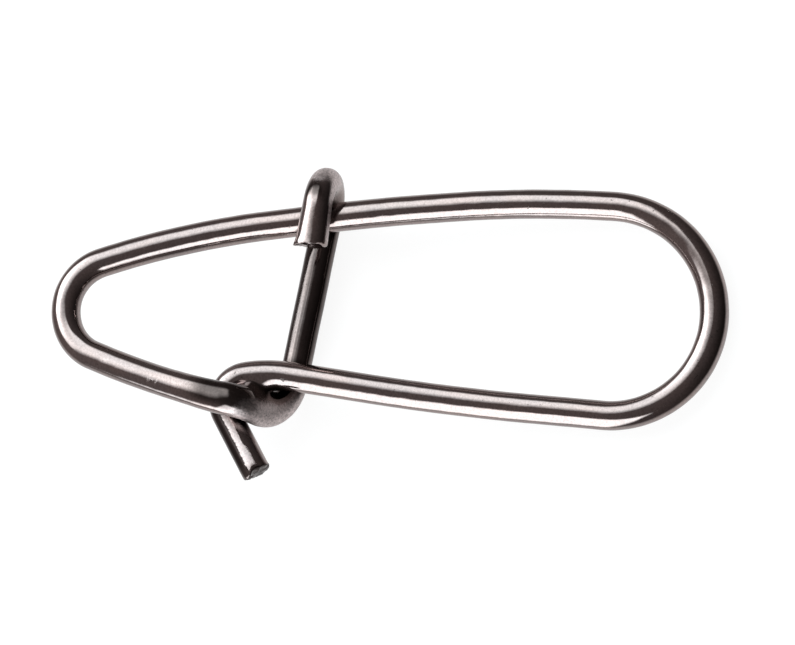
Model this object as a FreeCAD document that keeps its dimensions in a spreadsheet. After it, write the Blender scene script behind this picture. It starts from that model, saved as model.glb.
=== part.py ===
import FreeCAD, Part
import math
import os

# A snap bent from one round spring wire. The wire is one loop, from a narrow nose
# to a wide end, and each of its two ends is a hook that catches the wire itself.
# Frame: X along the loop, Y across it, Z up from the surface that the snap lies on.
# Lengths are in millimetres and angles in degrees.

Vector = FreeCAD.Vector

document = FreeCAD.newDocument("snap")
sizes = document.addObject("Spreadsheet::Sheet", "Sizes")

DRIVING_SIZES = [
    # the wire, and the room left where it passes itself
    ("wire_diameter", 1.6),
    ("wire_clearance", 0.06),
    # the loop: its length along the wire's centre line, and the insides of its two ends
    ("loop_length", 35.95),
    ("nose_inner_radius", 2.0),
    ("end_upper_inner_radius", 5.27),
    ("end_lower_inner_radius", 4.7),
    ("end_drop", 0.33),
    # the upper side: a slight corner past the nose's bend, one halfway along, and one
    # before the wide end's bend
    ("brow_past_nose_bend", 3.99),
    ("brow_flare", 1.36),
    ("saddle_from_nose", 17.0),
    ("saddle_height", 5.43),
    ("shoulder_before_end_bend", 4.17),
    ("shoulder_rise", 0.24),
    # the lower side: two slight corners, and the curl that it ends in
    ("belly_before_end_bend", 8.87),
    ("belly_lift", 0.77),
    ("heel_from_nose", 11.5),
    ("heel_depth", 3.51),
    ("curl_dip", 0.45),
    ("curl_inner_radius", 0.6),
    ("stub_angle", 60.85),
    ("stub_straight", 3.7),
    # the leg in front has one slight corner, its shin; then the wire turns back under the
    # lower side and up into the crossbar
    ("shin_from_nose", 5.48),
    ("shin_depth", 4.21),
    ("bend_play", 0.09),
    ("bend_stride", 1.92),
    ("bend_rise", 0.49),
    ("bend_front_inner_radius", 0.39),
    ("bend_back_inner_radius", 1.49),
    ("crossbar_angle", 80.33),
    # the hook over the upper side
    ("hook_headroom", 0.3),
    ("hook_play", 0.12),
    ("tip_angle", 96.5),
    ("tip_straight", 2.08),
    # the sheared ends of the wire
    ("tip_shear_angle", 5.0),
    ("stub_shear_angle", 4.0),
    ("end_chamfer", 0.06),
]

for row, (alias, value) in enumerate(DRIVING_SIZES, start=1):
    sizes.set("A%d" % row, alias.replace("_", " "))
    sizes.set("B%d" % row, str(value))
    sizes.setAlias("B%d" % row, alias)
document.recompute()


def size(alias):
    return float(sizes.get(alias))


# Beside a slight corner, this share of the room for its ease stays straight.
STRAIGHT_SHARE = 0.1
# The block that shears an end is this many wire diameters wide: it takes in the whole
# wire, and stays clear of the wire's other parts beside it.
SHEAR_WIDTH = 1.2
# A straight run shorter than this is left out of the centre line.
SHORTEST_RUN = 1e-4


def direction(angle):
    """Unit vector in the loop's plane, turned by an angle from +X."""
    turned = math.radians(angle)
    return Vector(math.cos(turned), math.sin(turned), 0)


def tangent_corner(start, centre, radius, end_angle, sense):
    """Corner of a bend: where the tangent from start to a circle meets the circle's
    tangent at end_angle. sense is +1 where the wire goes round counter-clockwise."""
    away = start - centre
    touch = math.atan2(away.y, away.x) + sense * math.acos(radius / away.Length)
    end = math.radians(end_angle)
    touch = end + math.remainder(touch - end, 2 * math.pi)
    reach = radius / math.cos((touch - end) / 2)
    middle = (touch + end) / 2
    return centre + Vector(math.cos(middle), math.sin(middle), 0) * reach


def meeting(point, along, other, other_along):
    """Where two lines in the loop's plane meet."""
    share = (other - point).cross(other_along).z / along.cross(other_along).z
    return point + along * share


class Route:
    """Corners of a bent wire in order, each with a name, and the radius of each bend."""

    def __init__(self, corners):
        self.names = list(corners)
        self.points = list(corners.values())
        self.radii = {}

    def turn(self, name):
        """Angle, in radians, that the wire turns through at a corner."""
        i = self.names.index(name)
        return (self.points[i] - self.points[i - 1]).getAngle(self.points[i + 1] - self.points[i])

    def tangent(self, name):
        """Length that a bend takes up on each side of its corner."""
        return self.radii[name] * math.tan(self.turn(name) / 2)

    def run(self, name, other):
        i, j = self.names.index(name), self.names.index(other)
        return (self.points[j] - self.points[i]).Length

    def bend_pair(self, name, other):
        """Two bends of one radius that fill the run between them."""
        halves = math.tan(self.turn(name) / 2) + math.tan(self.turn(other) / 2)
        self.radii[name] = self.radii[other] = self.run(name, other) / halves

    def ease(self, eased):
        """Slight corners, as gentle as the runs beside them allow. Two that share a run
        have half of it each. The bends that have a radius of their own are set first."""
        gentle = {}
        for name in eased:
            i = self.names.index(name)
            room = []
            for neighbour in (self.names[i - 1], self.names[i + 1]):
                run = self.run(name, neighbour)
                if neighbour in eased:
                    room.append(run / 2)
                else:
                    room.append(run - self.tangent(neighbour))
            gentle[name] = (1 - STRAIGHT_SHARE) * min(room) / math.tan(self.turn(name) / 2)
        self.radii.update(gentle)

    def wire(self):
        """Centre line of the wire: straight runs joined by tangent arcs."""
        edges = []
        here = self.points[0]
        for i, name in enumerate(self.names[1:-1], start=1):
            corner = self.points[i]
            before = (corner - self.points[i - 1]).normalize()
            after = (self.points[i + 1] - corner).normalize()
            start = corner - before * self.tangent(name)
            end = corner + after * self.tangent(name)
            inset = self.radii[name] / math.cos(self.turn(name) / 2) - self.radii[name]
            middle = corner + (after - before).normalize() * inset
            if (start - here).Length > SHORTEST_RUN:
                edges.append(Part.LineSegment(here, start).toShape())
                here = start
            edges.append(Part.Arc(here, middle, end).toShape())
            here = end
        edges.append(Part.LineSegment(here, self.points[-1]).toShape())
        return Part.Wire(edges)


# Where the wire crosses itself, the two centre lines lie this far apart.
wire_diameter = size("wire_diameter")
wire_radius = wire_diameter / 2
crossing = wire_diameter + size("wire_clearance")

# The loop lies in the plane z = 0, with the nose on the left and the wide end on the right.
nose = Vector(-size("loop_length") / 2, 0, 0)
nose_radius = size("nose_inner_radius") + wire_radius
nose_centre = nose + Vector(nose_radius, 0, 0)
end_x = size("loop_length") / 2
upper_radius = size("end_upper_inner_radius") + wire_radius
lower_radius = size("end_lower_inner_radius") + wire_radius
upper_centre = Vector(end_x - upper_radius, -size("end_drop"), 0)
lower_centre = Vector(end_x - lower_radius, -size("end_drop"), 0)

brow = nose_centre + Vector(size("brow_past_nose_bend"), nose_radius + size("brow_flare"), 0)
saddle = nose + Vector(size("saddle_from_nose"), size("saddle_height"), 0)
shoulder = upper_centre + Vector(-size("shoulder_before_end_bend"), upper_radius + size("shoulder_rise"), 0)
belly = lower_centre + Vector(-size("belly_before_end_bend"), size("belly_lift") - lower_radius, 0)
heel = nose + Vector(size("heel_from_nose"), -size("heel_depth"), 0)

nose_upper = tangent_corner(brow, nose_centre, nose_radius, 180, 1)
end_upper = tangent_corner(shoulder, upper_centre, upper_radius, 0, -1)
end_lower = tangent_corner(belly, lower_centre, lower_radius, 0, 1)

# The curl is wide enough for the leg's end to lie in it, and its stub runs under the leg.
curl = heel + Vector(-2 * crossing, -size("curl_dip"), 0)
curl_radius = size("curl_inner_radius") + wire_radius
stub_direction = direction(-size("stub_angle"))
curl_turn = (curl - heel).getAngle(stub_direction)
stub_end = curl + stub_direction * (curl_radius * math.tan(curl_turn / 2) + size("stub_straight"))

# The crossbar lies behind the loop. The bend at its foot passes just under the lower
# side, and halfway to the leg's end it passes beside the stub.
behind = Vector(0, 0, -crossing)
lower_side = (belly - heel).normalize()
bend_back_radius = size("bend_back_inner_radius") + wire_radius
bend_depth = bend_back_radius * (1 - math.cos(math.radians(45)))
under_heel = heel - Vector(0, crossing / lower_side.x + bend_depth, 0)
beside_stub = Vector(-stub_direction.y, stub_direction.x, 0) * (crossing + size("bend_play"))
stride = Vector(size("bend_stride"), -size("bend_rise"), 0)
bend_foot = meeting(curl + beside_stub + stride * 0.5, stub_direction, under_heel, lower_side)
bend_front = bend_foot - stride
bend_back = bend_foot + behind

# The leg climbs evenly from the nose, so that it clears the stub where it crosses over it.
shin = nose + Vector(size("shin_from_nose"), -size("shin_depth"), 0)
leg_foot = tangent_corner(shin, nose_centre, nose_radius, 180, -1)
to_shin = (shin - leg_foot).Length
to_bend = to_shin + (bend_front - shin).Length
leg_direction = (bend_front - shin).normalize()
slew = abs(leg_direction.cross(stub_direction).z)
to_crossing = to_shin + (meeting(shin, leg_direction, curl, stub_direction) - shin).Length
climb_rate = crossing * slew / math.sqrt((to_crossing * slew) ** 2 - crossing ** 2)
shin.z = climb_rate * to_shin
bend_front.z = climb_rate * to_bend

# The nose's lower bend is in the plane of its upright tangent and the raised leg.
across = Vector(shin.x - nose.x, 0, shin.z)
nose_lower = tangent_corner(
    Vector(across.Length, shin.y, 0), Vector(nose_radius, 0, 0), nose_radius, 180, -1
)
nose_lower = nose + Vector(0, nose_lower.y, 0)

# The hook's corners are on the crossbar's line, clear above the upper side.
crossbar_direction = direction(size("crossbar_angle"))
side_slope = (saddle.y - brow.y) / (saddle.x - brow.x)
side_height = brow.y + side_slope * (bend_back.x - brow.x)
climb = side_height + crossing + size("hook_headroom") - bend_back.y
hook_back = bend_back + crossbar_direction * (
    climb / (crossbar_direction.y - side_slope * crossbar_direction.x)
)
hook_front = hook_back - behind + Vector(0, 0, crossing + size("hook_play"))
hook_radius = (hook_front - hook_back).Length / 2
tip_direction = direction(-size("tip_angle"))
tip_end = hook_front + tip_direction * (hook_radius + size("tip_straight"))

# Both ends are made longer than they are, and then sheared.
spare_end = wire_radius
route = Route({
    "tip": tip_end + tip_direction * spare_end,
    "hook front": hook_front,
    "hook back": hook_back,
    "bend back": bend_back,
    "bend front": bend_front,
    "shin": shin,
    "nose lower": nose_lower,
    "nose upper": nose_upper,
    "brow": brow,
    "saddle": saddle,
    "shoulder": shoulder,
    "end upper": end_upper,
    "end lower": end_lower,
    "belly": belly,
    "heel": heel,
    "curl": curl,
    "stub": stub_end + stub_direction * spare_end,
})
route.radii = {
    "bend back": bend_back_radius,
    "bend front": size("bend_front_inner_radius") + wire_radius,
    "nose lower": nose_radius,
    "nose upper": nose_radius,
    "end upper": upper_radius,
    "end lower": lower_radius,
    "curl": curl_radius,
}
route.bend_pair("hook front", "hook back")
route.ease(["shin", "brow", "saddle", "shoulder", "belly", "heel"])
path = route.wire()

centre_line = document.addObject("Part::Feature", "CentreLine")
centre_line.Label = "centre line"
centre_line.Shape = path

section = document.addObject("Part::Circle", "WireSection")
section.Label = "wire section"
section.setExpression("Radius", "Sizes.wire_diameter / 2")
section.Placement = FreeCAD.Placement(
    route.points[0], FreeCAD.Rotation(Vector(0, 0, 1), route.points[1] - route.points[0])
)

bent = document.addObject("Part::Sweep", "BentWire")
bent.Label = "bent wire"
bent.Sections = [section]
bent.Spine = (centre_line, ["Edge%d" % (i + 1) for i in range(len(path.Edges))])
bent.Solid = True
bent.Frenet = True


def shear(name, wire_end, outward, lean_axis, angle_alias):
    """Block whose lower face is the cut across an end of the wire. It leans by the
    shear angle, and takes away all that lies beyond the cut."""
    block = document.addObject("Part::Box", name)
    for side in ("Length", "Width", "Height"):
        block.setExpression(side, "Sizes.wire_diameter * %g" % SHEAR_WIDTH)
    square = FreeCAD.Rotation(Vector(0, 0, 1), outward)
    lean = FreeCAD.Rotation(lean_axis, size(angle_alias))
    turned = lean.multiply(square)
    half_width = SHEAR_WIDTH * wire_diameter / 2
    corner = turned.multVec(Vector(-half_width, -half_width, 0))
    block.Placement = FreeCAD.Placement(wire_end + corner, turned)
    return block


tip_shear = shear("TipShear", tip_end, tip_direction, Vector(1, 0, 0), "tip_shear_angle")
stub_shear = shear("StubShear", stub_end, stub_direction, Vector(0, 0, 1), "stub_shear_angle")
shears = document.addObject("Part::MultiFuse", "Shears")
shears.Shapes = [tip_shear, stub_shear]
sheared = document.addObject("Part::Cut", "ShearedWire")
sheared.Label = "sheared wire"
sheared.Base = bent
sheared.Tool = shears
document.recompute()


def end_edges(shape):
    """Numbers of the edges round the two sheared faces, which are the only flat ones."""
    found = []
    flat = [face for face in shape.Faces if isinstance(face.Surface, Part.Plane)]
    for number, edge in enumerate(shape.Edges, start=1):
        if any(edge.isSame(rim) for face in flat for rim in face.Edges):
            found.append(number)
    return found


snap = document.addObject("Part::Chamfer", "SnapWire")
snap.Label = "snap_wire"
snap.Base = sheared
snap.Edges = [(n, size("end_chamfer"), size("end_chamfer")) for n in end_edges(sheared.Shape)]
document.recompute()

# The snap lies on its crossbar, with the wide end sunk until it touches as well.
side_of_bar = Vector(crossbar_direction.y, -crossbar_direction.x, 0)
farthest = lower_centre + side_of_bar * lower_radius
span = (farthest - bend_back).dot(side_of_bar)
rest_tilt = math.degrees(math.atan2(crossing, span))
tilt = FreeCAD.Placement(
    Vector(0, 0, 0), FreeCAD.Rotation(crossbar_direction, rest_tilt), bend_back
)
lying = snap.Shape.copy()
lying.Placement = tilt
box = lying.optimalBoundingBox(False, False)
stand = Vector(-(box.XMin + box.XMax) / 2, -(box.YMin + box.YMax) / 2, crossing + wire_radius)
snap.Placement = FreeCAD.Placement(tilt.Base + stand, tilt.Rotation)
document.recompute()

for made in document.Objects:
    if "Invalid" in made.State or "Error" in made.State:
        raise RuntimeError("%s failed: %s" % (made.Name, made.State))
if snap.Shape.isNull() or not snap.Shape.isValid():
    raise RuntimeError("the snap's shape isn't sound")
if len(snap.Shape.Solids) != 1:
    raise RuntimeError("the snap isn't one solid")

os.makedirs("parts", exist_ok=True)
snap.Shape.exportStep("parts/snap_wire.step")

wire_length = path.Length - 2 * spare_end
print("wire length %.2f mm, lies tilted by %.2f degrees" % (wire_length, rest_tilt))
print("volume %.2f mm3, and section by length %.2f mm3" % (
    snap.Shape.Volume, math.pi * wire_radius ** 2 * wire_length))
for name, radius in route.radii.items():
    print("bend radius %-10s %6.2f mm, turn %5.1f degrees" % (name, radius, math.degrees(route.turn(name))))
print("box:", snap.Shape.optimalBoundingBox(False, False))
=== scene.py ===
import bpy
import bmesh
import math
from mathutils import Matrix, Vector, kdtree, noise


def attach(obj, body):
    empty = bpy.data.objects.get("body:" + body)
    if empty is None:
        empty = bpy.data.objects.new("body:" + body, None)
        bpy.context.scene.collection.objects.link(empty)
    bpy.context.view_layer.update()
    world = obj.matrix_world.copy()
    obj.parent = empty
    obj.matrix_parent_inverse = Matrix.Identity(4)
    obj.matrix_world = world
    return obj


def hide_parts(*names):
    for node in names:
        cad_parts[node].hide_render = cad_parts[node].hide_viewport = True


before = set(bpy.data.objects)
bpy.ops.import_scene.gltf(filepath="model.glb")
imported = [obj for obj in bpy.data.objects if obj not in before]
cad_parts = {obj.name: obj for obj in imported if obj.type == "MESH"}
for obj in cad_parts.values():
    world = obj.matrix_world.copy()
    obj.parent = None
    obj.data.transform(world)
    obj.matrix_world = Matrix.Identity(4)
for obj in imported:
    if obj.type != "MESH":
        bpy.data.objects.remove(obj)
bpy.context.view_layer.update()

scene = bpy.context.scene
mm = 0.001

# The snap is worked out in the loop's own frame, in millimetres: X from the nose to the wide
# end, Y up in the picture, Z towards the viewer. At the end it is laid down and made metres.
snapSizes = {
    "wireDiameter": 1.6,
    "wireClearance": 0.06,
    "loopLength": 35.95,
    "noseInnerRadius": 2.0,
    "endUpperInnerRadius": 5.27,
    "endLowerInnerRadius": 4.7,
    "endDrop": 0.33,
    "browPastNoseBend": 3.99,
    "browFlare": 1.36,
    "saddleFromNose": 17.0,
    "saddleHeight": 5.43,
    "shoulderBeforeEndBend": 4.17,
    "shoulderRise": 0.24,
    "bellyBeforeEndBend": 8.87,
    "bellyLift": 0.77,
    "heelFromNose": 11.5,
    "heelDepth": 3.51,
    "curlDip": 0.45,
    "curlInnerRadius": 0.6,
    "stubAngle": 60.85,
    "stubStraight": 3.7,
    "shinFromNose": 5.48,
    "shinDepth": 4.21,
    "bendPlay": 0.09,
    "bendStride": 1.92,
    "bendRise": 0.49,
    "bendFrontInnerRadius": 0.39,
    "bendBackInnerRadius": 1.49,
    "crossbarAngle": 80.33,
    "hookHeadroom": 0.3,
    "hookPlay": 0.12,
    "tipAngle": 96.5,
    "tipStraight": 2.08,
    "straightShare": 0.1,   # of the room beside a slight corner, stays straight
}
quarterSag = 1 - math.cos(math.radians(45))   # how far a quarter turn bows out, per radius


def towards(angle):
    turned = math.radians(angle)
    return Vector((math.cos(turned), math.sin(turned), 0))


def tangentCorner(start, centre, radius, endAngle, sense):
    # the corner between the line from start that touches the circle and the circle's tangent
    # at endAngle
    away = start - centre
    touch = math.atan2(away.y, away.x) + sense * math.acos(radius / away.length)
    end = math.radians(endAngle)
    touch = end + math.remainder(touch - end, 2 * math.pi)
    middle = (touch + end) / 2
    reach = radius / math.cos((touch - end) / 2)
    return centre + Vector((math.cos(middle), math.sin(middle), 0)) * reach


def meeting(point, along, other, otherAlong):
    return point + along * ((other - point).cross(otherAlong).z / along.cross(otherAlong).z)


def snapRoute(sizes):
    # the corners of the wire's centre line, the radius at each, and how the snap leans at rest
    wireRadius = sizes["wireDiameter"] / 2
    crossing = sizes["wireDiameter"] + sizes["wireClearance"]
    nose = Vector((-sizes["loopLength"] / 2, 0, 0))
    noseRadius = sizes["noseInnerRadius"] + wireRadius
    noseCentre = nose + Vector((noseRadius, 0, 0))
    endX = sizes["loopLength"] / 2
    upperRadius = sizes["endUpperInnerRadius"] + wireRadius
    lowerRadius = sizes["endLowerInnerRadius"] + wireRadius
    upperCentre = Vector((endX - upperRadius, -sizes["endDrop"], 0))
    lowerCentre = Vector((endX - lowerRadius, -sizes["endDrop"], 0))

    brow = noseCentre + Vector((sizes["browPastNoseBend"], noseRadius + sizes["browFlare"], 0))
    saddle = nose + Vector((sizes["saddleFromNose"], sizes["saddleHeight"], 0))
    shoulder = upperCentre + Vector((
        -sizes["shoulderBeforeEndBend"], upperRadius + sizes["shoulderRise"], 0))
    belly = lowerCentre + Vector((
        -sizes["bellyBeforeEndBend"], sizes["bellyLift"] - lowerRadius, 0))
    heel = nose + Vector((sizes["heelFromNose"], -sizes["heelDepth"], 0))

    # the curl at the lower side's end, and the stub that runs under the leg
    curl = heel + Vector((-2 * crossing, -sizes["curlDip"], 0))
    curlRadius = sizes["curlInnerRadius"] + wireRadius
    stubDirection = towards(-sizes["stubAngle"])
    curlTurn = (curl - heel).angle(stubDirection)
    stubEnd = curl + stubDirection * (curlRadius * math.tan(curlTurn / 2) + sizes["stubStraight"])

    # the bend under the lower side, from the crossbar behind to the leg in front
    behind = Vector((0, 0, -crossing))
    lowerSide = (belly - heel).normalized()
    bendBackRadius = sizes["bendBackInnerRadius"] + wireRadius
    underHeel = heel - Vector((0, crossing / lowerSide.x + bendBackRadius * quarterSag, 0))
    besideStub = Vector((-stubDirection.y, stubDirection.x, 0)) * (crossing + sizes["bendPlay"])
    stride = Vector((sizes["bendStride"], -sizes["bendRise"], 0))
    bendFoot = meeting(curl + besideStub + stride * 0.5, stubDirection, underHeel, lowerSide)
    bendFront = bendFoot - stride
    bendBack = bendFoot + behind

    # the leg climbs from the nose until it clears the stub
    shin = nose + Vector((sizes["shinFromNose"], -sizes["shinDepth"], 0))
    legFoot = tangentCorner(shin, noseCentre, noseRadius, 180, -1)
    toShin = (shin - legFoot).length
    toBend = toShin + (bendFront - shin).length
    legDirection = (bendFront - shin).normalized()
    slew = abs(legDirection.cross(stubDirection).z)
    toCrossing = toShin + (meeting(shin, legDirection, curl, stubDirection) - shin).length
    climbRate = crossing * slew / math.sqrt((toCrossing * slew) ** 2 - crossing ** 2)
    shin.z = climbRate * toShin
    bendFront.z = climbRate * toBend
    across = Vector((shin.x - nose.x, 0, shin.z)).length
    noseLower = tangentCorner(
        Vector((across, shin.y, 0)), Vector((noseRadius, 0, 0)), noseRadius, 180, -1)

    # the hook over the upper side, on the crossbar's line
    barDirection = towards(sizes["crossbarAngle"])
    sideSlope = (saddle.y - brow.y) / (saddle.x - brow.x)
    sideAbove = brow.y + sideSlope * (bendBack.x - brow.x)
    climb = sideAbove + crossing + sizes["hookHeadroom"] - bendBack.y
    hookBack = bendBack + barDirection * (climb / (barDirection.y - sideSlope * barDirection.x))
    hookFront = hookBack - behind + Vector((0, 0, crossing + sizes["hookPlay"]))
    hookRadius = (hookFront - hookBack).length / 2
    tipEnd = hookFront + towards(-sizes["tipAngle"]) * (hookRadius + sizes["tipStraight"])

    corners = {
        "tip": tipEnd,
        "hookFront": hookFront,
        "hookBack": hookBack,
        "bendBack": bendBack,
        "bendFront": bendFront,
        "shin": shin,
        "noseLower": nose + Vector((0, noseLower.y, 0)),
        "noseUpper": tangentCorner(brow, noseCentre, noseRadius, 180, 1),
        "brow": brow,
        "saddle": saddle,
        "shoulder": shoulder,
        "endUpper": tangentCorner(shoulder, upperCentre, upperRadius, 0, -1),
        "endLower": tangentCorner(belly, lowerCentre, lowerRadius, 0, 1),
        "belly": belly,
        "heel": heel,
        "curl": curl,
        "stub": stubEnd,
    }
    names = list(corners)
    points = list(corners.values())

    def halfTurn(name):
        # the tangent of half the turn, which is the bend's reach from its corner per radius
        i = names.index(name)
        return math.tan((points[i] - points[i - 1]).angle(points[i + 1] - points[i]) / 2)

    def run(name, other):
        return (corners[other] - corners[name]).length

    radii = {
        "bendBack": bendBackRadius,
        "bendFront": sizes["bendFrontInnerRadius"] + wireRadius,
        "noseLower": noseRadius,
        "noseUpper": noseRadius,
        "endUpper": upperRadius,
        "endLower": lowerRadius,
        "curl": curlRadius,
    }
    hookRun = run("hookFront", "hookBack")
    hookTurns = halfTurn("hookFront") + halfTurn("hookBack")
    radii["hookFront"] = radii["hookBack"] = hookRun / hookTurns
    # the slight corners get wide bends, which fill most of the room beside them
    eased = ["shin", "brow", "saddle", "shoulder", "belly", "heel"]
    for name in eased:
        i = names.index(name)
        room = []
        for neighbour in (names[i - 1], names[i + 1]):
            if neighbour in eased:
                room.append(run(name, neighbour) / 2)
            else:
                room.append(run(name, neighbour) - radii[neighbour] * halfTurn(neighbour))
        radii[name] = (1 - sizes["straightShare"]) * min(room) / halfTurn(name)

    # The snap lies on the crossbar, with the wide end sunk until it touches too.
    sideOfBar = Vector((barDirection.y, -barDirection.x, 0))
    span = (lowerCentre + sideOfBar * lowerRadius - bendBack).dot(sideOfBar)
    restTilt = Matrix.Rotation(math.atan2(crossing, span), 4, barDirection)
    return corners, radii, restTilt


corners, radii, restTilt = snapRoute(snapSizes)
print("route:", len(corners), "corners")

wireDetail = {
    "sides": 64,            # round the wire
    "ringSpacing": 0.14,    # mm along it
    "leastStraight": 0.1,   # of that spacing: a shorter straight is left out
    # the cut faces' rings: share of the radius, and mm that they stand out
    "rimRings": (
        (0.985, 0.012), (0.95, 0.036), (0.9, 0.05), (0.72, 0.055), (0.5, 0.055), (0.25, 0.055)),
}
wireRadius = snapSizes["wireDiameter"] / 2


def ringEdges(ring):
    members = set(ring)
    edges = dict.fromkeys(e for v in ring for e in v.link_edges)   # each once, in the ring's order
    return [e for e in edges if e.verts[0] in members and e.verts[1] in members]


# A wire that grows ring by ring. Its "wirePlace" layer keeps each point's place across the
# wire as X and Y, and how far along the wire it is as Z.
class BentWire:
    def __init__(self, start, along):
        self.bm = bmesh.new()
        self.place = self.bm.verts.layers.float_vector.new("wirePlace")
        self.ring = bmesh.ops.create_circle(
            self.bm, cap_ends=False, segments=wireDetail["sides"], radius=wireRadius)["verts"]
        for v in self.ring:
            v[self.place] = v.co
        turned = along.to_track_quat("Z", "Y").to_matrix().to_4x4()
        bmesh.ops.transform(self.bm, matrix=Matrix.Translation(start) @ turned, verts=self.ring)
        self.firstRing = list(self.ring)
        self.length = 0.0
        self.centreLine = [(0.0, start.copy())]

    def carry(self, length, steps, centre=(0, 0, 0), axis=(0, 0, 1), angle=0.0, step=(0, 0, 0)):
        # sweeps the open ring on, and notes on every new ring how far along the wire it is
        before = len(self.bm.verts)
        bmesh.ops.spin(
            self.bm, geom=self.ring + ringEdges(self.ring), cent=centre, axis=axis, dvec=step,
            angle=angle, steps=steps, use_merge=False, use_normal_flip=False, use_duplicate=False)
        self.bm.verts.ensure_lookup_table()
        made = list(self.bm.verts)[before:]
        sides = wireDetail["sides"]
        for k in range(steps):
            ring = made[k * sides:(k + 1) * sides]
            along = self.length + length * (k + 1) / steps
            for v in ring:
                v[self.place].z = along
            middle = sum((v.co for v in ring), Vector()) / sides
            self.centreLine.append((along, middle))
        self.length += length
        self.ring = ring

    def straight(self, vector):
        steps = max(1, round(vector.length / wireDetail["ringSpacing"]))
        self.carry(vector.length, steps, step=vector / steps)

    def bend(self, corner, before, after, radius):
        angle = before.angle(after)
        inward = (after - before).normalized()
        centre = corner + inward * (radius / math.cos(angle / 2))
        steps = max(2, round(radius * angle / wireDetail["ringSpacing"]))
        axis = before.cross(after).normalized()
        self.carry(radius * angle, steps, centre=centre, axis=axis, angle=angle)

    def close(self, ring, outward):
        # a small round on the rim, then rings inwards, so that the cut face can be roughened
        centre = sum((v.co for v in ring), Vector()) / len(ring)
        share, out = 1.0, 0.0
        for nextShare, nextOut in wireDetail["rimRings"]:
            made = bmesh.ops.extrude_edge_only(self.bm, edges=ringEdges(ring))["geom"]
            ring = [g for g in made if isinstance(g, bmesh.types.BMVert)]
            shrink = nextShare / share
            for v in ring:
                v.co = centre + (v.co - centre - outward * out) * shrink + outward * nextOut
                v[self.place].xy = v[self.place].xy * shrink
            share, out = nextShare, nextOut
        bmesh.ops.edgeloop_fill(self.bm, edges=ringEdges(ring))


def bendWire():
    names = list(corners)
    points = list(corners.values())
    here = points[0]
    wire = BentWire(here, (points[1] - points[0]).normalized())
    bendsAt = {}
    for i in range(1, len(points) - 1):
        before = (points[i] - points[i - 1]).normalized()
        after = (points[i + 1] - points[i]).normalized()
        reach = radii[names[i]] * math.tan(before.angle(after) / 2)
        straight = points[i] - before * reach - here
        if straight.length > wireDetail["ringSpacing"] * wireDetail["leastStraight"]:
            wire.straight(straight)
        start = wire.length
        wire.bend(points[i], before, after, radii[names[i]])
        bendsAt[names[i]] = (start, wire.length)
        here = points[i] + after * reach
    wire.straight(points[-1] - here)
    wire.close(wire.ring, (points[-1] - points[-2]).normalized())
    wire.close(wire.firstRing, (points[0] - points[1]).normalized())
    bmesh.ops.recalc_face_normals(wire.bm, faces=wire.bm.faces)
    return wire, bendsAt


wire, bendsAt = bendWire()
bm = wire.bm
bm.normal_update()
print("wire: %.2f mm long, %d faces" % (wire.length, len(bm.faces)))

# What forming did to the round wire. A pressed stretch is wider one way: "at" is its place
# along the wire, "reach" how far it fades before and after that, "wide" the way, "by" mm on
# each side, or only on the "inside" of a bend, where the metal gathers.
legEnd = bendsAt["bendFront"][1]
bendMiddle = (bendsAt["bendBack"][1] + bendsAt["bendFront"][0]) / 2
curlStart = bendsAt["curl"][0]
curlMiddle = sum(bendsAt["curl"]) / 2
pressed = [
    {"at": legEnd, "reach": (1.2, 3.4), "wide": (0.25, 0.97, 0), "by": 0.10},
    {"at": bendMiddle, "reach": (2.4, 1.4), "wide": (-0.64, 0.77, 0), "by": 0.06},
    {"at": bendMiddle + 0.2, "reach": (2.2, 2.2), "wide": (-0.35, 0.93, 0.1), "by": 0.34,
     "inside": True},
    {"at": bendMiddle - 0.5, "reach": (2.4, 1.8), "wide": (-0.1, 1, 0), "by": 0.66,
     "inside": True},
    {"at": bendMiddle - 1.6, "reach": (1.5, 1.4), "wide": (-0.6, 0.8, 0), "by": 0.34,
     "inside": True},
    {"at": curlStart - 0.3, "reach": (1.6, 1.2), "wide": (0.1, -1, 0), "by": 0.56,
     "inside": True},
    {"at": 0.0, "reach": (1.0, 2.4), "wide": (1, 0.1, 0), "by": 0.10},
    {"at": 0.0, "reach": (1.0, 2.4), "wide": (0, 0, 1), "by": -0.06},
    {"at": curlMiddle, "reach": (2.0, 2.0), "wide": (0, 0, 1), "by": 0.03},
]
fade = {"steep": 5, "half": 0.5, "end": 1.6}   # half gone, and all gone, at these reaches
wobble = {
    "by": 0.010,            # mm to the side, slowly along the wire
    "perMm": 0.45,
    "from": (3.1, 0.7),     # where in the noise it is read
    "seed": 5,              # without one, Blender takes it from the clock
    "dents": 0.006,         # mm in and out
    "dentsPerMm": 1.7,
}


def swell(distance):
    if abs(distance) >= fade["end"]:
        return 0.0
    return 1 / (1 + math.exp(fade["steep"] * (abs(distance) - fade["half"])))


def forming(bm, place):
    noise.seed_set(wobble["seed"])
    moved = []
    for v in bm.verts:
        along, normal = v[place].z, v.normal.copy()
        shift = Vector()
        for press in pressed:
            distance = along - press["at"]
            reach = press["reach"][1] if distance > 0 else press["reach"][0]
            wide = Vector(press["wide"]).normalized()
            facing = normal.dot(wide)
            if "inside" in press:
                facing = max(0.0, facing) ** 2
            shift += wide * (facing * press["by"] * swell(distance / reach))
        slow = noise.noise_vector(Vector((along * wobble["perMm"], *wobble["from"])))
        dents = noise.noise(v.co * wobble["dentsPerMm"]) * wobble["dents"]
        moved.append(shift + slow * wobble["by"] + normal * dents)
    for v, shift in zip(bm.verts, moved):
        v.co += shift


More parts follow.
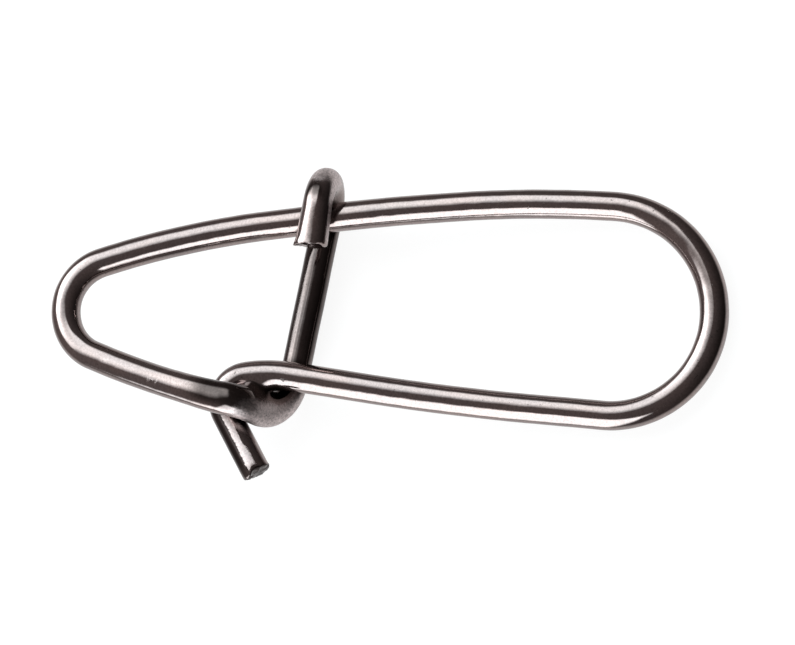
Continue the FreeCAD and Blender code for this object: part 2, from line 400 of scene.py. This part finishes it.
# The sheared ends: "toward" is a place on the rim in the loop's frame, "spread" how wide the
# mark is there, "out" how many mm the cut stands proud or falls short, and "flare" how many
# it is pushed outwards.
shearMarks = {
    "tip": [
        {"toward": (-0.95, 0, 0.3), "spread": 0.75, "out": 0.13, "flare": 0.10},
        {"toward": (0.8, 0, 0.6), "spread": 0.6, "out": -0.07, "flare": 0.0},
    ],
    "stub": [
        {"toward": (-0.62, -0.35, 0.7), "spread": 0.55, "out": 0.24, "flare": -0.04},
        {"toward": (0.15, 0.1, 1.0), "spread": 0.5, "out": -0.20, "flare": -0.05},
        {"toward": (0.85, 0.5, 0.2), "spread": 0.5, "out": -0.10, "flare": 0.02},
    ],
}
shearGrain = {
    "by": 0.055,                # mm, before the two shares below
    "perMm": 3.4,
    "fractal": (0.7, 2.1, 4),   # dimension, lacunarity, octaves
    "inMiddle": 1.3,
    "lessAtRim": 0.5,
    "markToRim": 3,             # a higher power keeps the marks closer to the rim
    "deep": 0.45,               # mm of the wire that the shear reaches
}


def shearEnd(bm, place, end, outward):
    endAt = wire.length if end == "stub" else 0.0
    for v in bm.verts:
        backFromEnd = abs(v[place].z - endAt)
        if backFromEnd > shearGrain["deep"]:
            continue
        radial = v.co - corners[end]
        radial -= outward * radial.dot(outward)
        around = radial.normalized()
        share = min(1.0, radial.length / wireRadius)
        near = (1 - backFromEnd / shearGrain["deep"]) ** 2
        rough = noise.fractal(v.co * shearGrain["perMm"], *shearGrain["fractal"])
        rough *= shearGrain["by"]
        out = rough * (shearGrain["inMiddle"] - shearGrain["lessAtRim"] * share)
        flare = 0.0
        for mark in shearMarks[end]:
            apart = (around - Vector(mark["toward"]).normalized()).length
            touched = math.exp(-(apart / mark["spread"]) ** 2) * share ** shearGrain["markToRim"]
            out += mark["out"] * touched
            flare += mark["flare"] * touched
        v.co += (outward * out + around * flare * share) * near


forming(bm, wire.place)
for end, neighbour in (("tip", "hookFront"), ("stub", "curl")):
    shearEnd(bm, wire.place, end, (corners[end] - corners[neighbour]).normalized())
bm.normal_update()
print("formed and sheared")

# Patches of finish and of painted light on the wire: "at" and "reach" are mm along it, "toward" is
# the side of the wire that they are on, in the loop's frame, "facing" how squarely a point has to
# face that side from where the patch fades in to where it is full, and "by" how strong it is.
hookTop = bendsAt["hookFront"][1]
barStart, barEnd = bendsAt["hookBack"][1], bendsAt["bendBack"][0]
shinAt = sum(bendsAt["shin"]) / 2
wireEnd = wire.length
stubOut = corners["stub"] - corners["curl"]
finishAndPaintedLightPatches = {
    # stretched and matt where the wire was bent tightly, and painted pale as a painted reflection
    # of the white sheet on the hook's top, the tip's sides and the bend's underside; paler on the
    # crossbar's left side
    "satinAndPaintedReflection": [
        {"at": hookTop, "reach": (3.4, 3.4), "toward": (0.1, 0.97, -0.2),
         "facing": (0.2, 0.6), "by": 1.0},
        {"at": 1.4, "reach": (2.2, 4.0), "toward": (1, 0.1, -0.25),
         "facing": (0.62, 0.85), "by": 0.85},
        {"at": 1.4, "reach": (2.2, 4.0), "toward": (-1, 0.1, -0.25),
         "facing": (0.7, 0.88), "by": 0.85},
        {"at": bendMiddle, "reach": (4.0, 1.5), "toward": (0.55, -0.8, 0.1),
         "facing": (0.0, 0.5), "by": 1.0},
        {"at": barStart * 0.4 + barEnd * 0.6, "reach": (4.6, 3.6), "toward": (-1, 0.1, 0.2),
         "facing": (0.35, 0.6), "by": 0.3},
    ],
    # dulled dark over the crossbar, darker on the stub's cut face, and painted shade on the leg's
    # end, the stub's left side and the top of the tip's front leg, which dims their reflections
    "tarnishAndPaintedShade": [
        {"at": (barStart + barEnd) / 2, "reach": (6.2, 5.6), "toward": (0, 0, 1),
         "facing": (-1.2, -1.1), "by": 0.8},
        # painted shade at the leg's end, beside the bend
        {"at": legEnd + 0.2, "reach": (1.8, 1.9), "toward": (0.1, 0.4, 1),
         "facing": (0.3, 0.8), "by": 0.88},
        # painted shade down the stub's left side, which narrows its reflection
        {"at": wireEnd - 2, "reach": (2.6, 2.6), "toward": (-0.87, -0.49, 0),
         "facing": (0.14, 0.26), "by": 0.92},
        {"at": wireEnd, "reach": (0.6, 0.6), "toward": stubOut,
         "facing": (0.4, 0.7), "by": 1.0},
        # painted shade over the top of the tip's front leg, which shortens its highlight
        {"at": 2.9, "reach": (0.6, 0.5), "toward": (-0.3, -0.3, 1),
         "facing": (0.45, 0.75), "by": 0.9},
    ],
    # rubbed bright, in flakes and scratches on the shin; the two on the stub are a painted
    # highlight, down its face and at its end
    "scuffsAndPaintedHighlight": [
        {"at": shinAt, "reach": (0.5, 0.5), "toward": (0.1, -0.35, 1),
         "facing": (0.85, 1.0), "by": 0.5},
        # painted highlight at the stub's end and down its face
        {"at": wireEnd - 0.6, "reach": (0.9, 0.6), "toward": (0, 0, 1),
         "facing": (0.9, 0.985), "by": 1.0},
        {"at": wireEnd - 2.2, "reach": (2.0, 2.0), "toward": (-0.04, -0.02, 1),
         "facing": (0.96, 0.985), "by": 0.9},
    ],
}
patchFade = (0.4, 1.2)   # a patch begins to fade, and is gone, at these shares of its reach
# painted shade, darker where another stretch of the wire lies close
paintedCreviceShade = {"depth": 0.9, "apart": 4.0, "by": 0.9}   # mm between stretches, mm along, strength


def rise(value, low, high):
    t = min(1.0, max(0.0, (value - low) / (high - low)))
    return t * t * (3 - 2 * t)


def finishAndPaintedLightLayers(bm, place):
    for name, patches in finishAndPaintedLightPatches.items():
        layer = bm.verts.layers.float.new(name)
        for v in bm.verts:
            amount = 0.0
            for patch in patches:
                distance = v[place].z - patch["at"]
                distance /= patch["reach"][1] if distance > 0 else patch["reach"][0]
                if abs(distance) < patchFade[1]:
                    facing = v.normal.dot(Vector(patch["toward"]).normalized())
                    strength = patch["by"] * rise(facing, *patch["facing"])
                    fading = rise(-abs(distance), -patchFade[1], -patchFade[0])
                    amount = max(amount, strength * fading)
            v[layer] = amount


def paintCreviceShade(bm, place):
    # painted shade: darker by how near another stretch of the wire lies
    layer = bm.verts.layers.float.new("paintedCreviceShade")
    tree = kdtree.KDTree(len(wire.centreLine))
    for i, (_, centre) in enumerate(wire.centreLine):
        tree.insert(centre, i)
    tree.balance()
    for v in bm.verts:
        near = paintedCreviceShade["depth"]
        for _, i, distance in tree.find_range(v.co, wireRadius + paintedCreviceShade["depth"]):
            if abs(wire.centreLine[i][0] - v[place].z) > paintedCreviceShade["apart"]:
                near = min(near, distance - wireRadius)
        v[layer] = paintedCreviceShade["by"] * rise(-near, -paintedCreviceShade["depth"], 0.0)


finishAndPaintedLightLayers(bm, wire.place)
paintCreviceShade(bm, wire.place)
print("finish laid out")

# Laid down: turned about the crossbar, then set with the middle of its box over the origin
# and its underside on the floor, and made metres.
bmesh.ops.transform(bm, matrix=restTilt, verts=bm.verts)
low = Vector([min(v.co[k] for v in bm.verts) for k in range(3)])
high = Vector([max(v.co[k] for v in bm.verts) for k in range(3)])
stand = Vector((-(low.x + high.x) / 2, -(low.y + high.y) / 2, -low.z))
layDown = Matrix.Translation(stand) @ restTilt
bmesh.ops.transform(bm, matrix=Matrix.Scale(mm, 4) @ Matrix.Translation(stand), verts=bm.verts)


def laid(point):
    return layDown @ point * mm


mesh = bpy.data.meshes.new("bentWire")
bm.to_mesh(mesh)
bm.free()
mesh.polygons.foreach_set("use_smooth", [True] * len(mesh.polygons))
bentWire = bpy.data.objects.new("bentWire", mesh)
scene.collection.objects.link(bentWire)
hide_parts("snap_wire")
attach(bentWire, "root")


# A node's socket, with the maths that is done on it as operators and methods.
class Sock:
    def __init__(self, tree, socket=None):
        self.tree = tree
        self.socket = socket

    def node(self, kind, settings=None, inputs=None, output=0):
        made = self.tree.nodes.new(kind)
        for name, value in (settings or {}).items():
            setattr(made, name, value)
        for name, value in (inputs or {}).items():
            if isinstance(value, Sock):
                self.tree.links.new(value.socket, made.inputs[name])
            else:
                made.inputs[name].default_value = value
        return Sock(self.tree, made.outputs[output] if made.outputs else None)

    def math(self, operation, first, second):
        return self.node("ShaderNodeMath", {"operation": operation}, {0: first, 1: second})

    def __add__(self, other):
        return self.math("ADD", self, other)

    def __sub__(self, other):
        return self.math("SUBTRACT", self, other)

    def __rsub__(self, other):
        return self.math("SUBTRACT", other, self)

    def __mul__(self, other):
        return self.math("MULTIPLY", self, other)

    def __truediv__(self, other):
        return self.math("DIVIDE", self, other)

    def __rtruediv__(self, other):
        return self.math("DIVIDE", other, self)

    __radd__ = __add__
    __rmul__ = __mul__

    def __abs__(self):
        return self.math("ABSOLUTE", self, 0.0)

    def atLeast(self, least):
        return self.math("MAXIMUM", self, least)

    def ramp(self, low, high, start=0.0, end=1.0):
        # start below low, end above high, and a smooth rise between
        return self.node(
            "ShaderNodeMapRange", {"interpolation_type": "SMOOTHSTEP"},
            {"Value": self, "From Min": low, "From Max": high, "To Min": start, "To Max": end})

    def mix(self, first, second):
        # first where this socket is 0, second where it is 1
        return self.node(
            "ShaderNodeMix", {"data_type": "RGBA", "clamp_factor": True},
            {"Factor": self, "A": first, "B": second}, 2)

    def dot(self, direction):
        return self.node(
            "ShaderNodeVectorMath", {"operation": "DOT_PRODUCT"}, {0: self, 1: direction}, "Value")

    def times(self, vector):
        return self.node("ShaderNodeVectorMath", {"operation": "MULTIPLY"}, {0: self, 1: vector})

    def noise(self, scale, detail, roughness):
        return self.node(
            "ShaderNodeTexNoise", None,
            {"Vector": self, "Scale": scale, "Detail": detail, "Roughness": roughness}, "Fac")


# The wire's finish: dark bright plating over drawn wire, which also carries the painted reflection,
# shade and highlight of the patches.
plating = {
    "colour": (0.36, 0.305, 0.297, 1),
    "warm": (0.40, 0.325, 0.31, 1),
    # paler colour, partly a painted reflection of the white sheet
    "satinAndPaintedReflection": (0.70, 0.61, 0.60, 1),
    # dark colour of the tarnish, of the painted shade and of the pits
    "tarnishAndPaintedShade": (0.05, 0.04, 0.037, 1),
    # bright colour of the rubbed wear and of the painted highlight
    "rubbedAndPaintedHighlight": (0.92, 0.80, 0.78, 1),
    "warmFrom": (0.35, 0.65),       # where in the clouds the colour turns warm
    "linesFrom": (0.56, 0.66),      # where in the lines the tarnish is worn through
    "linesThrough": 0.35,
    "pitsFrom": (0.70, 0.76),
    "pitsDark": 0.6,
    "satinGain": 1.3,
    "satinGrain": 0.5,
    "satinFrom": (0.1, 1.0),
    "rubbedFlakes": 2.2,
    "rubbedFrom": (0.25, 0.7),
    "rubbedWithin": (0.05, 0.3),    # keeps the flakes inside their patches
    "grainFrom": (0.3, 0.7),
    "grainShade": 0.3,
    "satinShade": 0.4,
    # the stretch of the wire's own place, then the noise's scale, detail and roughness
    "patterns": {
        "drawn": ((9, 9, 0.12), (1, 4, 0.6)),       # lengthwise lines from the die
        "lines": ((5, 5, 0.05), (1, 3, 0.65)),
        "grain": ((1, 1, 1), (8, 4, 0.7)),
        "clouds": ((1, 1, 0.35), (0.9, 2, 0.5)),
        "flakes": ((3.2, 3.2, 5.5), (1, 5, 0.7)),
        "pits": ((1, 1, 1), (4.2, 2, 0.4)),
    },
    "rough": {
        "all": 0.085,
        "drawn": 0.10, "grain": 0.10, "clouds": 0.05,
        "satinAndPaintedReflection": 0.36, "rubbedAndPaintedHighlight": 0.42, "pits": 0.2,
    },
    "height": {
        "drawn": 0.5, "grain": 0.5, "satinGrain": 3.0, "rubbedFlakes": 1.5, "pits": 0.8,
    },
    "bumpStrength": 0.5,
    "bumpDepth": 0.004,             # mm
}
noiseMiddle = 0.5


def makePlating():
    material = bpy.data.materials.new("darkBrightPlating")
    material.use_nodes = True
    tree = material.node_tree
    tree.nodes.clear()
    start = Sock(tree)

    def layer(name, output="Fac"):
        return start.node("ShaderNodeAttribute", {"attribute_name": name}, output=output)

    place = layer("wirePlace", "Vector")

    def pattern(name):
        stretch, noiseOf = plating["patterns"][name]
        return place.times(stretch).noise(*noiseOf)

    drawn, grain, clouds, flakes = (pattern(k) for k in ("drawn", "grain", "clouds", "flakes"))
    lines = pattern("lines").ramp(*plating["linesFrom"])
    pits = pattern("pits").ramp(*plating["pitsFrom"])
    grainAround = grain - noiseMiddle

    # the satin layer is matt, and paler in colour as a painted reflection of the white sheet
    satinAndPaintedReflection = layer("satinAndPaintedReflection") * plating["satinGain"]
    satinAndPaintedReflection = satinAndPaintedReflection + grainAround * plating["satinGrain"] * layer("satinAndPaintedReflection")
    satinAndPaintedReflection = satinAndPaintedReflection.ramp(*plating["satinFrom"])
    # the painted crevice shade is added to the tarnish and painted shade
    tarnishAndPaintedShade = layer("tarnishAndPaintedShade") + layer("paintedCreviceShade")
    tarnishAndPaintedShade = tarnishAndPaintedShade - tarnishAndPaintedShade * (lines * plating["linesThrough"])
    # bright flakes: rubbed wear on the shin, and a painted highlight on the stub
    rubbedAndPaintedHighlight = layer("scuffsAndPaintedHighlight") + (flakes - noiseMiddle) * plating["rubbedFlakes"]
    rubbedAndPaintedHighlight = rubbedAndPaintedHighlight.ramp(*plating["rubbedFrom"]) * layer("scuffsAndPaintedHighlight").ramp(*plating["rubbedWithin"])

    colour = clouds.ramp(*plating["warmFrom"]).mix(plating["colour"], plating["warm"])
    colour = satinAndPaintedReflection.mix(colour, plating["satinAndPaintedReflection"])
    # tarnish and painted shade darken the colour here
    colour = tarnishAndPaintedShade.mix(colour, plating["tarnishAndPaintedShade"])
    colour = (pits * plating["pitsDark"]).mix(colour, plating["tarnishAndPaintedShade"])
    colour = rubbedAndPaintedHighlight.mix(colour, plating["rubbedAndPaintedHighlight"])
    shade = grain.ramp(*plating["grainFrom"]) - noiseMiddle
    shade = shade * (satinAndPaintedReflection * plating["satinShade"] + plating["grainShade"]) + 1
    colour = colour.times(shade)

    rough, high = plating["rough"], plating["height"]
    roughness = (drawn - noiseMiddle) * rough["drawn"] + grainAround * rough["grain"]
    roughness = roughness + (clouds - noiseMiddle) * rough["clouds"] + rough["all"]
    roughness = roughness + satinAndPaintedReflection * rough["satinAndPaintedReflection"] + rubbedAndPaintedHighlight * rough["rubbedAndPaintedHighlight"] + pits * rough["pits"]
    height = drawn * high["drawn"] + grain * (satinAndPaintedReflection * high["satinGrain"] + high["grain"])
    height = height + flakes * rubbedAndPaintedHighlight * high["rubbedFlakes"] - pits * high["pits"]
    bump = start.node(
        "ShaderNodeBump", None,
        {"Strength": plating["bumpStrength"], "Distance": plating["bumpDepth"] * mm,
         "Height": height}, "Normal")
    shader = start.node(
        "ShaderNodeBsdfPrincipled", None,
        {"Base Color": colour, "Metallic": 1.0, "Roughness": roughness, "Normal": bump})
    start.node("ShaderNodeOutputMaterial", None, {"Surface": shader})
    return material


bentWire.data.materials.append(makePlating())
print("plated")

# The camera looks at the loop from far off, at the photograph's angle.
cameraView = {
    "lookAcross": 11.0,       # degrees that the view turns about the loop's Y
    "lookUp": 11.0,           # and about its X
    "pixelsPerMm": 18.375,
    "imageWidth": 795,
    "imageHeight": 645,
    "loopOrigin": (388.5, 310.0),   # where the loop's origin lies in the picture
    "distance": 600.0,        # mm
    "sensorWidth": 36,
    "clipStart": 10,          # mm
    "clipEnd": 20,            # m, past the floor's far edge
}


def cameraAxes():
    turn = math.radians(cameraView["lookAcross"])
    lift = math.radians(cameraView["lookUp"])
    right = Vector((
        math.cos(turn), math.sin(turn) * math.sin(lift), -math.sin(turn) * math.cos(lift)))
    up = Vector((0, math.cos(lift), math.sin(lift)))
    turned = restTilt.to_3x3()
    right, up = turned @ right, turned @ up
    return right, up, right.cross(up)


right, up, back = cameraAxes()
offX = (cameraView["imageWidth"] / 2 - cameraView["loopOrigin"][0]) / cameraView["pixelsPerMm"]
offY = (cameraView["loopOrigin"][1] - cameraView["imageHeight"] / 2) / cameraView["pixelsPerMm"]
target = laid(Vector((0, 0, 0))) + (right * offX + up * offY) * mm
camera = bpy.data.objects.new("camera", bpy.data.cameras.new("camera"))
scene.collection.objects.link(camera)
scene.camera = camera
fieldWidth = cameraView["imageWidth"] / cameraView["pixelsPerMm"]
camera.data.sensor_width = cameraView["sensorWidth"]
camera.data.lens = cameraView["sensorWidth"] * cameraView["distance"] / fieldWidth
camera.data.clip_start = cameraView["clipStart"] * mm
camera.data.clip_end = cameraView["clipEnd"]
cameraTurn = Matrix((right, up, back)).transposed().to_4x4()
camera.matrix_world = Matrix.Translation(target + back * cameraView["distance"] * mm) @ cameraTurn
print("camera set")

# A plain white sheet. The camera sees its own white and a share of the light on it, with the
# shadow, and the metal mirrors a softer white where it looks at the sheet steeply enough.
floorSizes = {
    "halfWidth": 3.0,               # m
    "colour": (0.8, 0.8, 0.8, 1),
    "ownWhite": 0.76,
    "glow": 1.2,
    "mirrored": 0.72,
    "mirroredFrom": (0.2, 0.65),
}
white = (1, 1, 1, 1)
black = (0, 0, 0, 1)
bm = bmesh.new()
bmesh.ops.create_grid(bm, x_segments=1, y_segments=1, size=floorSizes["halfWidth"])
floorMesh = bpy.data.meshes.new("floor")
bm.to_mesh(floorMesh)
bm.free()
floor = bpy.data.objects.new("floor", floorMesh)
scene.collection.objects.link(floor)


def makeFloor():
    material = bpy.data.materials.new("whiteSheet")
    material.use_nodes = True
    tree = material.node_tree
    tree.nodes.clear()
    start = Sock(tree)
    seen = start.node("ShaderNodeLightPath", output="Is Camera Ray")
    mirrored = start.node("ShaderNodeLightPath", output="Is Glossy Ray")
    through = start.node("ShaderNodeLightPath", output="Is Transmission Ray")
    steep = 1 - start.node("ShaderNodeLayerWeight", None, {"Blend": 0.5}, "Facing")

    def shining(strength):
        return start.node("ShaderNodeEmission", None, {"Color": white, "Strength": strength})

    def either(share, first, second):
        return start.node("ShaderNodeMixShader", None, {0: share, 1: first, 2: second})

    lit = start.node("ShaderNodeBsdfDiffuse", None, {"Color": floorSizes["colour"]})
    ownWhite = (seen + through) * floorSizes["ownWhite"]
    sheet = either(ownWhite, lit, shining(floorSizes["glow"]))
    beyond = start.node("ShaderNodeBsdfTransparent")
    mirror = either(
        steep.ramp(*floorSizes["mirroredFrom"]), beyond, shining(floorSizes["mirrored"]))
    start.node("ShaderNodeOutputMaterial", None, {"Surface": either(mirrored, sheet, mirror)})
    return material


floorMesh.materials.append(makeFloor())

# The light is two soft boxes in a dark studio, placed from the camera: "azimuth" round the
# picture from its right, "polar" away from the line to the camera, and "turn" about the box's
# own middle, all in degrees. The other lengths are what they would be at a distance of 1: a
# box is set back across by "shift", reaches "halfAcross" to each side of that and "halfOut"
# towards and away from the camera, and its edges are blurred by "softAcross", "softIn" and
# "softOut". Its two ends across are "nearEnd" and "farEnd" times as bright.
softBoxes = [
    {"azimuth": 141, "polar": 69, "turn": 38, "shift": 0.19,
     "halfAcross": 0.74, "halfOut": 0.46, "softAcross": 0.16, "softIn": 0.38, "softOut": 0.2,
     "colour": (0.90, 0.98, 1.0), "strength": 2.7, "nearEnd": 0.92, "farEnd": 2.1},
    {"azimuth": 248, "polar": 72, "turn": 8, "shift": 0.0,
     "halfAcross": 0.34, "halfOut": 0.68, "softAcross": 0.1, "softIn": 0.12, "softOut": 0.12,
     "colour": (0.91, 0.98, 1.0), "strength": 3.3, "nearEnd": 1.0, "farEnd": 1.0},
]
studio = {
    "dark": (0.118, 0.104, 0.102),
    "darkerRight": 0.85,
    "leastDark": 0.08,          # of that colour, at the darkest
    "ends": (-0.35, 0.3),       # where across a box its brightness changes
    "leastAhead": 0.02,         # keeps a box off the side that faces away from it
}


def makeWorld():
    world = bpy.data.worlds.new("studio")
    scene.world = world
    world.use_nodes = True
    tree = world.node_tree
    tree.nodes.clear()
    start = Sock(tree)
    looking = start.node("ShaderNodeTexCoord", output="Generated")
    shade = (looking.dot(right) * -studio["darkerRight"] + 1).atLeast(studio["leastDark"])
    # a mix stops at a share of 1, so the share is halved and the colour doubled
    light = (shade * 0.5).mix(black, (*(2 * c for c in studio["dark"]), 1))
    for box in softBoxes:
        azimuth, polar, turn = (math.radians(box[k]) for k in ("azimuth", "polar", "turn"))
        outward = right * math.cos(azimuth) + up * math.sin(azimuth)
        middle = outward * math.sin(polar) + back * math.cos(polar)
        flatOut = outward * math.cos(polar) - back * math.sin(polar)
        flatAcross = middle.cross(flatOut)
        across = flatAcross * math.cos(turn) + flatOut * math.sin(turn)
        out = flatOut * math.cos(turn) - flatAcross * math.sin(turn)
        ahead = looking.dot(middle).atLeast(studio["leastAhead"])
        x, y = looking.dot(across) / ahead, looking.dot(out) / ahead
        halfAcross, halfOut = box["halfAcross"], box["halfOut"]
        softAcross, softIn, softOut = box["softAcross"], box["softIn"], box["softOut"]
        inside = abs(x + box["shift"]).ramp(halfAcross - softAcross, halfAcross + softAcross, 1, 0)
        inside = inside * y.ramp(halfOut - softOut, halfOut + softOut, 1, 0)
        inside = inside * y.ramp(-halfOut - softIn, -halfOut + softIn, 0, 1)
        colour = [c * box["strength"] for c in box["colour"]]
        colour = x.ramp(*studio["ends"], box["nearEnd"], box["farEnd"]).times(colour)
        light = inside.mix(light, colour)
    seen = start.node("ShaderNodeLightPath", output="Is Camera Ray")
    light = seen.mix(light, white)
    sky = start.node("ShaderNodeBackground", None, {"Color": light, "Strength": 1.0})
    start.node("ShaderNodeOutputWorld", None, {"Surface": sky})


makeWorld()
scene.view_settings.view_transform = "Standard"
print("floor and light set")
